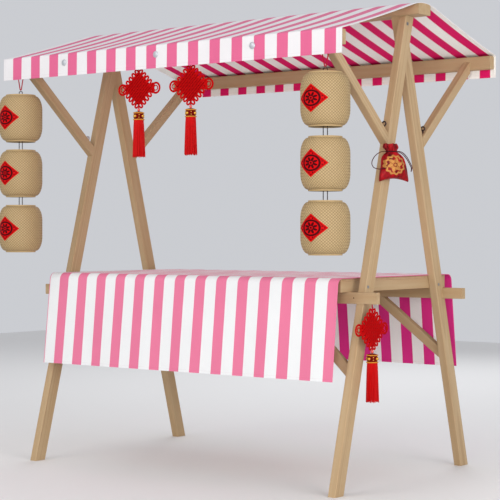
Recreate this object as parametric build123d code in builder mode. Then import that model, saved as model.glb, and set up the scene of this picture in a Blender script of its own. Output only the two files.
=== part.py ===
from build123d import *
import math
import os

os.makedirs("parts", exist_ok=True)

# Market stall: two crossed-leg trestle frames joined by a ridge board, eave rails and
# table rails, with a striped canvas roof, a counter with its cloth, and hung ornaments.
# Sizes are in millimetres. X runs along the counter, Y from the customer's side to the
# back, Z up. A distance "out" is measured level from the line under the ridge.

# Overall sizes
canopy_length = 1960
canopy_depth = 1291
canopy_height = 2100
foot_reach = 550           # middle of a foot, out from the ridge line

# Canvas roof
canvas = 4
roof_rise = 174            # from the eave to the top of the canvas
roof_overhang = 76         # canvas past the outer face of the outermost leg
valance_drop = 104
ridge_radius = 300         # the canvas is drawn round over the ridge board
fold_radius = 8
seat_gap = 0.3             # canvas and cloth lie this far from the wood

# Timbers
timber = 38
leg_depth = 63
crossing_drop = 63         # from the top of the canvas to where the middles of two legs cross
arm_depth = 43
ease = 2.5                 # chamfer along the timbers' long edges
ridge_width = 98
ridge_thickness = 50
eave_rail_depth = 62
eave_rail_setback = 9      # rail end inside the canvas edge
table_rail_depth = 49
table_rail_thickness = 26
table_rail_overrun = 66    # past the outer face of the outermost leg
rail_housing = 10          # how far a table rail is let into a leg
knee_depth = 44
knee_thickness = 26

# Counter
table_rail_height = 839    # top of the table rails
bearer_depth = 46
board_thickness = 12
board_depth = 860
cloth = 5
cloth_bend = 35            # round of the cloth over the counter's edge
cloth_stand = 38           # outer face of a drop, past the edge of the board
cloth_flare = 46           # how far each drop stands out further at its hem
cloth_drop = 435           # from the top of the cloth to its hem
cloth_overhang = 14        # past each end of the board
leg_gap = 3                # between an inner leg and the cloth that is notched round it

# Arms from the legs to the eave rails
arm_head_lift = 10         # middle of the arm where it meets the rail, above the rail's underside
arm_rise = 0.875           # height gained for each unit out

# Knees from the table rails to the legs
knee_reach = 392           # along the rail, from the knee's head to the outermost leg's outer face
knee_slope = 0.81          # height lost for each unit along the rail

# Lanterns
lantern_radius = 101
lantern_height = 232
lantern_pitch = 263
lantern_hang = 102.5       # from the eave rail's underside to the top lantern
lantern_inset = 19         # from the outer face of the outermost leg
lantern_outset = 2.8       # from the middle of the eave rail
lantern_shoulder = 36      # height of the rounding at each end of the barrel
collar_radius = 69
collar_height = 7
collar_wall = 5
cap_recess = 4
cord_radius = 1.6
cord_spread = 15           # half the distance between the two link cords

# Knots and tassels
knot_diagonal = 164
knot_thickness = 14
knot_loop = 9
knot_loops = 5             # along each side of the lozenge
side_loop = 25
side_loop_tuck = 9         # how far a side loop reaches into the lozenge
tassel_radius = 29
tassel_length = 168
band_radius = 25
band_height = 36
bead_radius = 6
bead_height = 22
hang_cord = 5
eave_knot_x = {"left_eave": -136, "right_eave": 167}
eave_hang = 30
rail_knot_gap = 37         # from the outer face of the leg to the middle of the knot
rail_hang = 14

# Screw eyes and the pouch beside the right front one
eye_radius = 10
eye_wire = 2.2
eye_shank = 14
eye_setback = 20           # from the leg's face
eye_shift = 8              # from the arm's middle, towards the stall's end
pouch_width = 150
pouch_height = 126
pouch_thickness = 60
pouch_collar_height = 39
pouch_hang = 228           # from the screw eye's seat to the pouch's lowest point
pouch_outset = 20          # from the middle of the leg, towards the customer

# Worked out from the sizes above
frame_outer = canopy_length / 2 - roof_overhang          # outer face of the outermost leg
frame_inner = frame_outer - 2 * timber                   # inner face of the innermost leg
crossing_height = canopy_height - crossing_drop
eave_height = canopy_height - roof_rise                  # fold between the slope and the valance
lean = foot_reach / crossing_height
leg_width = leg_depth * math.hypot(1, lean)              # a leg measured level
roof_pitch = math.radians(16)
for _ in range(20):                                      # the slope meets the ridge's round
    apex = canopy_height + ridge_radius * (1 / math.cos(roof_pitch) - 1)
    roof_pitch = math.atan((apex - eave_height) / (canopy_depth / 2))
ridge_top = canopy_height - canvas - seat_gap
leg_top = ridge_top - ridge_thickness
rail_outer = canopy_depth / 2 - canvas - seat_gap
rail_inner = rail_outer - timber
rail_top = eave_height - canvas / math.cos(roof_pitch) - seat_gap
rail_bottom = rail_top - eave_rail_depth
arm_half = arm_depth / 2 * math.hypot(1, arm_rise)       # half an arm, measured plumb
notch_floor = table_rail_height - table_rail_depth
table_rail_length = 2 * (frame_outer + table_rail_overrun)
knee_head_x = frame_outer - knee_reach
board_bottom = table_rail_height + bearer_depth
board_top = board_bottom + board_thickness
cloth_top = board_top + seat_gap + cloth
board_half = frame_inner
cloth_depth = board_depth + 2 * cloth_stand
cloth_hem = cloth_top - cloth_drop
lantern_top = rail_bottom - lantern_hang
lantern_x = frame_outer - lantern_inset
lantern_out = rail_inner + timber / 2 + lantern_outset
lantern_front = lantern_out + lantern_radius
ridge_y = (lantern_front - canopy_depth / 2) / 2         # centres the stall over its origin


def leg_middle(height):
    return (crossing_height - height) * lean


def leg_outer(height):
    return leg_middle(height) + leg_width / 2


def leg_inner(height):
    return leg_middle(height) - leg_width / 2


def arm_middle(out):
    """Height of an arm's middle line, at a distance out from the ridge line."""
    return rail_bottom + arm_head_lift + arm_rise * (out - rail_inner)


def arm_foot_out(offset):
    """Where a line along an arm, this far above its middle, meets the leg's outer face."""
    reach = crossing_height - arm_middle(0) - offset
    return (reach * lean + leg_width / 2) / (1 + arm_rise * lean)


def end_plane(x):
    """Looks along +X at the stall's end: local x is Y from the ridge line, local y is height."""
    return Plane(origin=(x, ridge_y, 0), x_dir=(0, 1, 0), z_dir=(1, 0, 0))


def hand_in(piece, name):
    piece.part.label = name
    export_step(piece.part, f"parts/{name}.step")


def ease_long_edges(piece, shortest):
    chamfer(piece.edges().filter_by(lambda edge: edge.length > shortest), ease)


notch_out = leg_outer(table_rail_height) - rail_housing  # plumb seat of the table rail

# Which side of the frame each leg is on: the two frames are alike, one turned half round,
# so the outer leg is at the front on the right and at the back on the left.
front, back = -1, 1
leg_places = {
    "right_front": (frame_outer - timber, front),
    "right_back": (frame_inner, back),
    "left_front": (-frame_inner - timber, front),
    "left_back": (-frame_outer, back),
}


def make_leg(name, x, side):
    outline = [
        (leg_inner(0), 0),
        (leg_outer(0), 0),
        (leg_outer(notch_floor), notch_floor),
        (notch_out, notch_floor),
        (notch_out, table_rail_height),
        (leg_outer(table_rail_height), table_rail_height),
        (leg_outer(leg_top), leg_top),
        (leg_inner(leg_top), leg_top),
    ]
    with BuildPart() as leg:
        with BuildSketch(end_plane(x)):
            with BuildLine():
                Polyline([(side * out, height) for out, height in outline], close=True)
            make_face()
        extrude(amount=timber)
        ease_long_edges(leg, leg_top / 4)
    hand_in(leg, f"{name}_leg")


def make_arm(name, x, side):
    def at_leg(offset):
        out = arm_foot_out(offset)
        return out, arm_middle(out) + offset

    def at_rail(offset):
        return rail_inner, arm_middle(rail_inner) + offset

    outline = [at_leg(-arm_half), at_rail(-arm_half), at_rail(arm_half), at_leg(arm_half)]
    with BuildPart() as arm:
        with BuildSketch(end_plane(x)):
            with BuildLine():
                Polyline([(side * out, height) for out, height in outline], close=True)
            make_face()
        extrude(amount=timber)
        ease_long_edges(arm, arm_depth * 3)
    hand_in(arm, f"{name}_arm")


def make_knee(name, x, side):
    """A board between the table rail's underside and the leg's inner face."""
    end = 1 if x > 0 else -1
    leg_face = abs(x) if x > 0 else abs(x) - timber
    knee_run = leg_face - knee_head_x
    knee_drop = knee_slope * knee_run
    top_out = notch_out + table_rail_thickness / 2
    foot_out = leg_middle(notch_floor - knee_drop)
    tilt = (foot_out - top_out) / knee_drop
    knee_plane = Plane(
        origin=(0, ridge_y + side * top_out, notch_floor),
        x_dir=(end, 0, 0),
        z_dir=(0, -end, -end * side * tilt),
    )
    half = knee_depth / 2 * math.hypot(1, knee_slope)
    start, stop = knee_head_x - knee_run / 2, leg_face + knee_run / 2
    stretch = math.hypot(1, tilt)

    def height_at(run, offset):
        return (knee_slope * (knee_head_x - run) + offset) * stretch

    with BuildPart() as knee:
        with BuildSketch(knee_plane):
            with BuildLine():
                Polyline(
                    [
                        (start, height_at(start, -half)),
                        (stop, height_at(stop, -half)),
                        (stop, height_at(stop, half)),
                        (start, height_at(start, half)),
                    ],
                    close=True,
                )
            make_face()
        extrude(amount=knee_thickness / 2, both=True)
        split(bisect_by=Plane.XY.offset(notch_floor), keep=Keep.BOTTOM)
        side_cut = Plane(origin=(end * leg_face, 0, 0), z_dir=(end, 0, 0))
        split(bisect_by=side_cut, keep=Keep.BOTTOM)
        ease_long_edges(knee, knee_depth * 3)
    hand_in(knee, f"{name}_knee")


for place, (leg_x, leg_side) in leg_places.items():
    make_leg(place, leg_x, leg_side)
    make_arm(place, leg_x, leg_side)
    make_knee(place, leg_x, leg_side)

# Ridge board: a flat underside on the legs' level tops, and a round top under the canvas
board_arc = ridge_radius - canvas - seat_gap
arc_drop = board_arc - math.sqrt(board_arc**2 - (ridge_width / 2) ** 2)
with BuildPart() as ridge_board:
    with BuildSketch(end_plane(-canopy_length / 2)):
        with BuildLine():
            left_top = (-ridge_width / 2, ridge_top - arc_drop)
            right_top = (ridge_width / 2, ridge_top - arc_drop)
            ThreePointArc(left_top, (0, ridge_top), right_top)
            Polyline(right_top, (ridge_width / 2, leg_top), (-ridge_width / 2, leg_top), left_top)
        make_face()
    extrude(amount=canopy_length)
    ease_long_edges(ridge_board, canopy_length / 2)
hand_in(ridge_board, "ridge_board")

# Eave rails, with the outer top edge taken off where the canvas folds
eave_rail_length = canopy_length - 2 * eave_rail_setback
for name, side in {"front": front, "back": back}.items():
    with BuildPart() as eave_rail:
        with BuildSketch(end_plane(-eave_rail_length / 2)):
            with Locations((side * (rail_inner + timber / 2), rail_bottom + eave_rail_depth / 2)):
                Rectangle(timber, eave_rail_depth)
        extrude(amount=eave_rail_length)
        long_edges = eave_rail.edges().filter_by(Axis.X)
        top_edge = long_edges.group_by(Axis.Z)[-1].sort_by(Axis.Y)[-1 if side == back else 0]
        chamfer(long_edges - [top_edge], ease)
        chamfer(top_edge, 2 * ease)
    hand_in(eave_rail, f"{name}_eave_rail")

# Table rails, each in its plumb seats on the outer faces of the legs
for name, side in {"front": front, "back": back}.items():
    with BuildPart() as table_rail:
        middle_out = notch_out + table_rail_thickness / 2
        with BuildSketch(end_plane(-table_rail_length / 2)):
            with Locations((side * middle_out, notch_floor + table_rail_depth / 2)):
                Rectangle(table_rail_thickness, table_rail_depth)
        extrude(amount=table_rail_length)
        chamfer(table_rail.edges().filter_by(Axis.X), ease / 2)
    hand_in(table_rail, f"{name}_table_rail")

# Bearers across the table rails, against the inner legs, and the counter board on them
for name, x in {"right": frame_inner - timber, "left": -frame_inner}.items():
    with BuildPart() as bearer:
        with BuildSketch(end_plane(x)):
            with Locations((0, table_rail_height + bearer_depth / 2)):
                Rectangle(board_depth, bearer_depth)
        extrude(amount=timber)
        chamfer(bearer.edges().filter_by(Axis.Y), ease / 2)
    hand_in(bearer, f"{name}_bearer")

with BuildPart() as counter_board:
    with BuildSketch(Plane(origin=(0, ridge_y, board_bottom))):
        Rectangle(2 * board_half, board_depth)
    extrude(amount=board_thickness)
    chamfer(counter_board.edges().group_by(Axis.Z)[-1], ease / 2)
hand_in(counter_board, "counter_board")

# Canvas roof: two slopes over the ridge board and a valance down each eave
with BuildPart() as canopy:
    with BuildSketch(end_plane(-canopy_length / 2)) as canopy_profile:
        half_depth = canopy_depth / 2
        valance_hem = eave_height - valance_drop
        with BuildLine():
            Polyline(
                [
                    (-half_depth, valance_hem),
                    (-half_depth, eave_height),
                    (0, apex),
                    (half_depth, eave_height),
                    (half_depth, valance_hem),
                ],
                close=True,
            )
        make_face()
        corners = canopy_profile.vertices().group_by(Axis.Y)
        fillet(corners[-1], ridge_radius)
        folds = canopy_profile.vertices().filter_by_position(Axis.Y, eave_height - 1, eave_height + 1)
        fillet(folds, fold_radius)
        offset(amount=-canvas, mode=Mode.SUBTRACT)
        with Locations((0, valance_hem)):
            Rectangle(canopy_depth - 2 * canvas, 3 * canvas, mode=Mode.SUBTRACT)
    extrude(amount=canopy_length)
hand_in(canopy, "canopy")

# Counter cloth: over the board, rounded at its edges, with a flared drop front and back. It is
# notched round the two inner legs, and each drop hangs past them.
with BuildPart() as tablecloth:
    cloth_half = board_half + cloth_overhang
    hem_half = cloth_depth / 2 + cloth_flare
    with BuildSketch(end_plane(-cloth_half)) as cloth_profile:
        with BuildLine():
            Polyline(
                [
                    (-hem_half, cloth_hem),
                    (-cloth_depth / 2, cloth_top),
                    (cloth_depth / 2, cloth_top),
                    (hem_half, cloth_hem),
                ],
                close=True,
            )
        make_face()
        fillet(cloth_profile.vertices().group_by(Axis.Y)[-1], cloth_bend)
        offset(amount=-cloth, mode=Mode.SUBTRACT)
        with Locations((0, cloth_hem)):
            Rectangle(2 * hem_half - 2.5 * cloth, 3 * cloth, mode=Mode.SUBTRACT)
    extrude(amount=2 * cloth_half)
    leg_out = leg_middle(cloth_top)
    with BuildSketch(Plane(origin=(0, ridge_y, board_top))):
        with Locations((cloth_half, back * leg_out), (-cloth_half, front * leg_out)):
            Rectangle(2 * (cloth_overhang + leg_gap), leg_width + 2 * leg_gap)
    extrude(amount=2 * cloth, mode=Mode.SUBTRACT)
hand_in(tablecloth, "tablecloth")


def make_lantern(name, x, top):
    """A woven barrel with a collar and a recessed cap at each end."""
    rim = lantern_height / 2
    body_half = rim - collar_height
    swell = lantern_radius - collar_radius
    upper_half = [
        (0, rim - cap_recess),
        (collar_radius - collar_wall, rim - cap_recess),
        (collar_radius - collar_wall, rim),
        (collar_radius, rim),
        (collar_radius, body_half),
        (collar_radius + 0.75 * swell, body_half - lantern_shoulder / 4),
        (lantern_radius, body_half - lantern_shoulder),
    ]
    lower_half = [(radius, -height) for radius, height in reversed(upper_half)]
    with BuildPart() as lantern:
        middle = (x, ridge_y - lantern_out, top - rim)
        with BuildSketch(Plane(origin=middle, x_dir=(1, 0, 0), z_dir=(0, -1, 0))):
            with BuildLine():
                Polyline(upper_half + lower_half, close=True)
            make_face()
        revolve(axis=Axis(middle, (0, 0, 1)))
    hand_in(lantern, name)


def make_lantern_cords(name, x):
    """Two cords up to the eave rail, and two between each lantern and the next."""
    with BuildPart() as cords:
        cap = lantern_top - cap_recess + seat_gap
        for end in (-1, 1):
            foot = Vector(x + end * cord_spread / 3, ridge_y - lantern_out, cap + cord_radius / 2)
            head = Vector(x + end * 1.5 * cord_spread, ridge_y - lantern_out,
                          rail_bottom - seat_gap - cord_radius / 3)
            with BuildSketch(Plane(origin=foot, z_dir=head - foot)):
                Circle(cord_radius)
            extrude(amount=(head - foot).length)
        for link in range(2):
            lower_cap = lantern_top - (link + 1) * lantern_pitch - cap_recess + seat_gap
            upper_cap = lantern_top - link * lantern_pitch - lantern_height + cap_recess - seat_gap
            with BuildSketch(Plane(origin=(x, ridge_y - lantern_out, lower_cap))):
                with Locations((-cord_spread, 0), (cord_spread, 0)):
                    Circle(cord_radius)
            extrude(amount=upper_cap - lower_cap)
    hand_in(cords, name)


for hand, x in {"right": lantern_x, "left": -lantern_x}.items():
    for level, name in enumerate(("top", "middle", "bottom")):
        make_lantern(f"{hand}_{name}_lantern", x, lantern_top - level * lantern_pitch)
    make_lantern_cords(f"{hand}_lantern_cords", x)


def make_knot(name, plane, hang):
    """A flat woven lozenge with small loops along its sides, two side loops and its string."""
    corner = knot_diagonal / 2
    middle = -hang - knot_loop - corner
    side = knot_diagonal / math.sqrt(2)
    side_loop_out = corner + side_loop - side_loop_tuck
    with BuildPart() as knot:
        with BuildSketch(plane):
            with Locations((0, middle)):
                Rectangle(side, side, rotation=45)
            with Locations((side_loop_out, middle), (-side_loop_out, middle)):
                Circle(side_loop)
            for loop in range(knot_loops):
                across = corner * (loop + 0.5) / knot_loops
                up = corner - across
                with Locations((across, middle + up), (across, middle - up),
                               (-across, middle + up), (-across, middle - up)):
                    Circle(knot_loop)
            with Locations((0, middle / 2)):
                Rectangle(hang_cord, -middle)
        extrude(amount=knot_thickness / 2, both=True)
    hand_in(knot, name)
    lowest = middle - corner * (1 - 0.5 / knot_loops) - knot_loop
    return plane.origin + Vector(0, 0, lowest)


def make_tassel(name, top):
    """A bead, a corded band and a skirt of threads, turned about the string."""
    band_top = top.Z - seat_gap - bead_height
    band_foot = band_top - band_height
    foot = band_foot - tassel_length
    with BuildPart() as tassel:
        with BuildSketch(Plane(origin=(top.X, top.Y, 0), x_dir=(1, 0, 0), z_dir=(0, -1, 0))):
            with BuildLine():
                Polyline((0, foot), (tassel_radius, foot), (tassel_radius - 3, band_foot),
                         (band_radius, band_foot), (band_radius, band_top), (bead_radius, band_top),
                         (bead_radius, band_top + bead_height), (0, band_top + bead_height), (0, foot))
            make_face()
        revolve(axis=Axis((top.X, top.Y, 0), (0, 0, 1)))
    hand_in(tassel, name)


# Two knots face the customer under the front eave rail, and one hangs from the right end of
# the front table rail, turned to lie along the leg
eave_y = ridge_y - rail_inner - timber / 2
for name, x in eave_knot_x.items():
    facing_front = Plane(origin=(x, eave_y, rail_bottom - seat_gap), x_dir=(1, 0, 0), z_dir=(0, -1, 0))
    make_tassel(f"{name}_tassel", make_knot(f"{name}_knot", facing_front, eave_hang))

table_rail_y = ridge_y - notch_out - table_rail_thickness / 2
facing_end = Plane(
    origin=(frame_outer + rail_knot_gap, table_rail_y, notch_floor - seat_gap),
    x_dir=(0, 1, 0),
    z_dir=(1, 0, 0),
)
make_tassel("rail_tassel", make_knot("rail_knot", facing_end, rail_hang))


eye_out = arm_foot_out(arm_half) + eye_setback
eye_seat = arm_middle(eye_out) + arm_half


def make_eye(name, x, side):
    """A screw eye that stands on the arm's upper face, beside the leg."""
    along = x + timber / 2 + (eye_shift if x > 0 else -eye_shift)
    middle = Vector(along, ridge_y + side * eye_out, eye_seat)
    raised = eye_wire * arm_rise                         # keeps the shank's foot off the slope
    ring_middle = middle + Vector(0, 0, eye_shank + eye_radius)
    with BuildPart() as eye:
        with BuildSketch(Plane(origin=middle + Vector(0, 0, raised))):
            RegularPolygon(eye_wire, 8)
        extrude(amount=eye_shank - raised)
        with BuildSketch(Plane(origin=ring_middle, x_dir=(1, 0, 0), z_dir=(0, 0, 1))):
            with Locations((eye_radius, 0)):
                RegularPolygon(eye_wire, 8)
        revolve(axis=Axis(ring_middle, (0, 1, 0)))
    hand_in(eye, f"{name}_eye")


for place, (leg_x, leg_side) in leg_places.items():
    make_eye(place, leg_x, leg_side)

# Drawstring pouch against the outer face of the right front leg: each level of its body and
# of its gathered collar is a share of its width and thickness at a share of its height
body_levels = [(0.88, 0.50, 0.0), (1.0, 0.92, 0.16), (0.88, 1.0, 0.42), (0.62, 0.82, 0.78),
               (0.40, 0.46, 1.0)]
collar_levels = [(0.40, 0.46, 0.0), (0.50, 0.60, 0.45), (0.58, 0.72, 1.0)]
pouch_back = frame_outer + seat_gap
pouch_foot = eye_seat - pouch_hang
pouch_y = ridge_y - leg_middle(pouch_foot + pouch_height) - pouch_outset


def pouch_level(width_share, thickness_share, height):
    width, thickness = width_share * pouch_width, thickness_share * pouch_thickness
    with BuildSketch(Plane(origin=(pouch_back + thickness / 2, pouch_y, height))) as level:
        RectangleRounded(thickness, width, 0.46 * thickness)
    return level.sketch


collar_foot = pouch_foot + pouch_height
body = [pouch_level(*shares, pouch_foot + share * pouch_height) for *shares, share in body_levels]
collar = [pouch_level(*shares, collar_foot + share * pouch_collar_height)
          for *shares, share in collar_levels]
with BuildPart() as pouch:
    loft(body, ruled=True)
    loft(collar, ruled=True)
hand_in(pouch, "pouch")
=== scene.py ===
import math
import random

import bpy
from mathutils import Matrix, Vector


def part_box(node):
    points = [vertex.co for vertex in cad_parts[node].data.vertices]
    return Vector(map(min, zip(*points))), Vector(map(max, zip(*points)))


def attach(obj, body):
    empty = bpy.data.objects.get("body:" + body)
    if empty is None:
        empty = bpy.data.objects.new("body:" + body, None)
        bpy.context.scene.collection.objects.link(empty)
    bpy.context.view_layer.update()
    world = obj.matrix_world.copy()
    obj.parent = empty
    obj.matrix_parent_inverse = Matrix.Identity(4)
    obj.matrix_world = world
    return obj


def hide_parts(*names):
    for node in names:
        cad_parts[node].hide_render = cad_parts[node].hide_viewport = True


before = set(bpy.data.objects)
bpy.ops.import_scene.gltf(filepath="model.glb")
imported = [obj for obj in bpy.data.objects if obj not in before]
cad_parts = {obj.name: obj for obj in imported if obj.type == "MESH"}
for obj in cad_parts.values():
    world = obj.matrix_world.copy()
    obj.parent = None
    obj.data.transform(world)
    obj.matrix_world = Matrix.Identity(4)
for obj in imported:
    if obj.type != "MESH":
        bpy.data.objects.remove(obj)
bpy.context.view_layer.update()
print("frame loaded:", len(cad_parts), "nodes")

scene = bpy.context.scene
ridgeY = 0.04025             # the line under the ridge
# the end of the stall and the side at which each leg stands
legPlaces = {"right_front": (1, -1), "right_back": (1, 1), "left_front": (-1, -1), "left_back": (-1, 1)}
chance = random.Random(11)


# Small helpers for modelling

def only(*pieces):
    bpy.ops.object.select_all(action="DESELECT")
    for piece in pieces:
        piece.select_set(True)
    bpy.context.view_layer.objects.active = pieces[0]


def added(kind, **settings):
    bpy.ops.object.select_all(action="DESELECT")
    getattr(bpy.ops.mesh, f"primitive_{kind}_add")(**settings)
    return bpy.context.object


def fixed(piece):
    # its place, turn and size go into its mesh
    only(piece)
    bpy.ops.object.transform_apply(location=True, rotation=True, scale=True)
    return piece


def cleared(*pieces):
    for piece in pieces:
        bpy.data.objects.remove(piece)


def shaped(piece, kind, test, action, **settings):
    # picks the faces, edges or corners that pass the test, and runs one edit-mode operator on them
    only(piece)
    bpy.ops.object.mode_set(mode="EDIT")
    bpy.ops.mesh.select_mode(type=kind)
    bpy.ops.mesh.select_all(action="DESELECT")
    bpy.ops.object.mode_set(mode="OBJECT")
    mesh = piece.data
    for item in {"FACE": mesh.polygons, "EDGE": mesh.edges, "VERT": mesh.vertices}[kind]:
        item.select = test(item)
    bpy.ops.object.mode_set(mode="EDIT")
    getattr(bpy.ops.mesh, action)(**settings)
    bpy.ops.object.mode_set(mode="OBJECT")
    return piece


def recessed(piece, wall, deep):
    # sinks the top of an upright cylinder inside a wall
    shaped(piece, "FACE", lambda face: face.normal.z > 0.9, "inset", thickness=wall)
    return shaped(piece, "FACE", lambda face: face.normal.z > 0.9 and len(face.vertices) > 4,
                  "extrude_region_move", TRANSFORM_OT_translate={"value": (0, 0, -deep)})


def cutAcross(piece, rise, cuts):
    # divides the edges that rise by more than this
    def upright(edge):
        foot, head = (piece.data.vertices[end].co.z for end in edge.vertices)
        return abs(head - foot) > rise
    return shaped(piece, "EDGE", upright, "subdivide", number_cuts=cuts)


def modified(piece, kind, **settings):
    only(piece)
    step = piece.modifiers.new(kind.lower(), kind)
    for setting, value in settings.items():
        setattr(step, setting, value)
    bpy.ops.object.modifier_apply(modifier=step.name)
    return piece


def eased(piece, width, segments, corner=30):
    return modified(piece, "BEVEL", width=width, segments=segments, limit_method="ANGLE",
                    angle_limit=math.radians(corner))


def joined(*pieces):
    only(*pieces)
    if len(pieces) > 1:
        bpy.ops.object.join()
    return bpy.context.object


def twin(piece, matrix):
    copy = piece.copy()
    copy.data = piece.data.copy()
    scene.collection.objects.link(copy)
    copy.data.transform(matrix)
    if matrix.determinant() < 0:
        copy.data.flip_normals()
    return copy


def settled(piece, name, paints, stands=(), corner=40):
    # the piece gets its name and its finish, and rides on the stall
    fixed(piece)
    piece.name = name
    piece.data.name = name
    for paint in paints:
        piece.data.materials.append(paint.material)
    bpy.ops.object.shade_smooth_by_angle(angle=math.radians(corner))
    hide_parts(*stands)
    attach(piece, "root")
    return piece


def circle(radius, count):
    angles = [2 * math.pi * step / count for step in range(count)]
    return [(radius * math.cos(angle), radius * math.sin(angle)) for angle in angles]


def between(start, stop, pieces):
    return [Vector(start).lerp(Vector(stop), step / pieces) for step in range(pieces + 1)]


def runs(points):
    # how far along the line each of its points is
    lengths = [0.0]
    for start, stop in zip(points, points[1:]):
        lengths.append(lengths[-1] + (Vector(stop) - Vector(start)).length)
    return lengths


def rounded(corners, steps):
    # a flat line through (y, z, radius) corners, with each corner that has a radius rounded off
    line = [Vector(corners[0][:2])]
    for before, (y, z, radius), after in zip(corners, corners[1:], corners[2:]):
        corner = Vector((y, z))
        if not radius:
            line.append(corner)
            continue
        back = (Vector(before[:2]) - corner).normalized()
        on = (Vector(after[:2]) - corner).normalized()
        half = back.angle(on) / 2
        centre = corner + (back + on).normalized() * radius / math.sin(half)
        start = corner + back * radius / math.tan(half) - centre
        stop = corner + on * radius / math.tan(half) - centre
        line += [centre + radius * start.slerp(stop, step / steps) for step in range(steps + 1)]
    line.append(Vector(corners[-1][:2]))
    return line


def mirrored(corners):
    return [(-y, z, radius) for y, z, radius in reversed(corners)]


def refined(line, longest):
    fine = [line[0]]
    for start, stop in zip(line, line[1:]):
        fine += between(start, stop, max(1, math.ceil((stop - start).length / longest)))[1:]
    return fine


def strand(lines, radius, sides=1, closed=False):
    # one tube along each line of points; sides 1 and 2 give tubes of 6 and 8 sides
    curve = bpy.data.curves.new("strand", "CURVE")
    curve.dimensions = "3D"
    curve.bevel_depth = radius
    curve.bevel_resolution = sides
    curve.use_fill_caps = not closed
    for points in lines:
        spline = curve.splines.new("POLY")
        spline.points.add(len(points) - 1)
        spline.points.foreach_set("co", [c for point in points for c in (*point, 1)])
        spline.use_cyclic_u = closed
    tube = bpy.data.objects.new("strand", curve)
    scene.collection.objects.link(tube)
    only(tube)
    bpy.ops.object.convert(target="MESH")
    return shaped(bpy.context.object, "VERT", lambda corner: True, "remove_doubles", threshold=radius / 50)


def twisted(points, planeNormal, radius, turnLength, closed=False):
    # the lines of a cord's two strands, laid round a flat path
    lengths = runs(points + points[:1])
    length = lengths[-1] if closed else lengths[-2]
    turns = max(1, round(length / turnLength))
    lines = [[], []]
    for index, point in enumerate(points):
        before = points[index - 1] if closed or index else point
        after = points[(index + 1) % len(points)] if closed or index < len(points) - 1 else point
        ahead = (Vector(after) - Vector(before)).normalized()
        across = Vector(planeNormal).cross(ahead).normalized()
        up = ahead.cross(across)
        for number, line in enumerate(lines):
            angle = 2 * math.pi * (turns * lengths[index] / length + number / 2)
            line.append(Vector(point) + radius * (math.cos(angle) * across + math.sin(angle) * up))
    return lines


# Shader maths: a wire stands for one output, and sums on wires add their own nodes

class Wire:
    def __init__(self, paint, socket):
        self.paint = paint
        self.socket = socket

    def maths(self, operation, other=0.0, turned=False):
        first, second = (other, self) if turned else (self, other)
        return self.paint.node("ShaderNodeMath", {"operation": operation}, {0: first, 1: second})

    def __add__(self, other):
        return self.maths("ADD", other)

    def __sub__(self, other):
        return self.maths("SUBTRACT", other)

    def __rsub__(self, other):
        return self.maths("SUBTRACT", other, True)

    def __mul__(self, other):
        return self.maths("MULTIPLY", other)

    def __truediv__(self, other):
        return self.maths("DIVIDE", other)

    def __rtruediv__(self, other):
        return self.maths("DIVIDE", other, True)

    def __pow__(self, other):
        return self.maths("POWER", other)

    def __abs__(self):
        return self.maths("ABSOLUTE")

    __radd__ = __add__
    __rmul__ = __mul__

    def fraction(self):
        return self.maths("FRACT")

    def sine(self):
        return self.maths("SINE")

    def least(self, other):
        return self.maths("MINIMUM", other)

    def most(self, other):
        return self.maths("MAXIMUM", other)

    def above(self, edge, soft):
        # 0 below the edge and 1 above it, with a soft step between
        return self.paint.node("ShaderNodeClamp", {}, {0: (self - edge) / soft + 0.5})

    def at(self, middle, half, soft):
        # 1 in a band round the middle value, and 0 away from it
        return 1 - abs(self - middle).above(half, soft)


class Paint:
    def __init__(self, name, constants):
        self.material = bpy.data.materials.new(name)
        self.material.use_nodes = True
        self.tree = self.material.node_tree
        self.shader = self.tree.nodes["Principled BSDF"]
        for socket, value in constants.items():
            self.shader.inputs[socket].default_value = value

    def feed(self, socket, value):
        if isinstance(value, Wire):
            self.tree.links.new(value.socket, socket)
        else:
            socket.default_value = value

    def node(self, kind, settings, values, output=0):
        made = self.tree.nodes.new(kind)
        for setting, value in settings.items():
            setattr(made, setting, value)
        for socket, value in values.items():
            self.feed(made.inputs[socket], value)
        return Wire(self, made.outputs[output])

    def place(self, kind="Object"):
        return self.node("ShaderNodeTexCoord", {}, {}, kind)

    def moved(self, vector, place=(0, 0, 0), turn=(0, 0, 0), scale=(1, 1, 1)):
        return self.node("ShaderNodeMapping", {},
                         {"Vector": vector, "Location": place, "Rotation": turn, "Scale": scale})

    def parts(self, vector):
        whole = self.node("ShaderNodeSeparateXYZ", {}, {0: vector}).socket.node
        return [Wire(self, out) for out in whole.outputs]

    def noise(self, vector, scale, detail=2.0, roughness=0.5):
        # three scales in one give a grain with a direction
        if isinstance(scale, tuple):
            vector, scale = self.moved(vector, scale=scale), 1.0
        return self.node("ShaderNodeTexNoise", {},
                         {"Vector": vector, "Scale": scale, "Detail": detail, "Roughness": roughness})

    def mix(self, share, first, second, blend="MIX"):
        return self.node("ShaderNodeMix", {"data_type": "RGBA", "blend_type": blend},
                         {0: share, 6: first, 7: second}, 2)

    def give(self, colour, roughness=None, height=None, distance=0.001, strength=1.0, metal=None):
        for socket, value in {"Base Color": colour, "Roughness": roughness, "Metallic": metal}.items():
            if value is not None:
                self.feed(self.shader.inputs[socket], value)
        if height is not None:
            bump = self.node("ShaderNodeBump", {},
                             {"Strength": strength, "Distance": distance, "Height": height})
            self.feed(self.shader.inputs["Normal"], bump)
        return self


def rgb(red, green, blue):
    def linear(part):
        part /= 255
        return part / 12.92 if part < 0.04045 else ((part + 0.055) / 1.055) ** 2.4
    return (linear(red), linear(green), linear(blue), 1.0)


def shade(tint, amount):
    return (*(part * amount for part in tint[:3]), 1.0)


def shades(tint, *amounts):
    return [shade(tint, amount) for amount in amounts]


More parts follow.
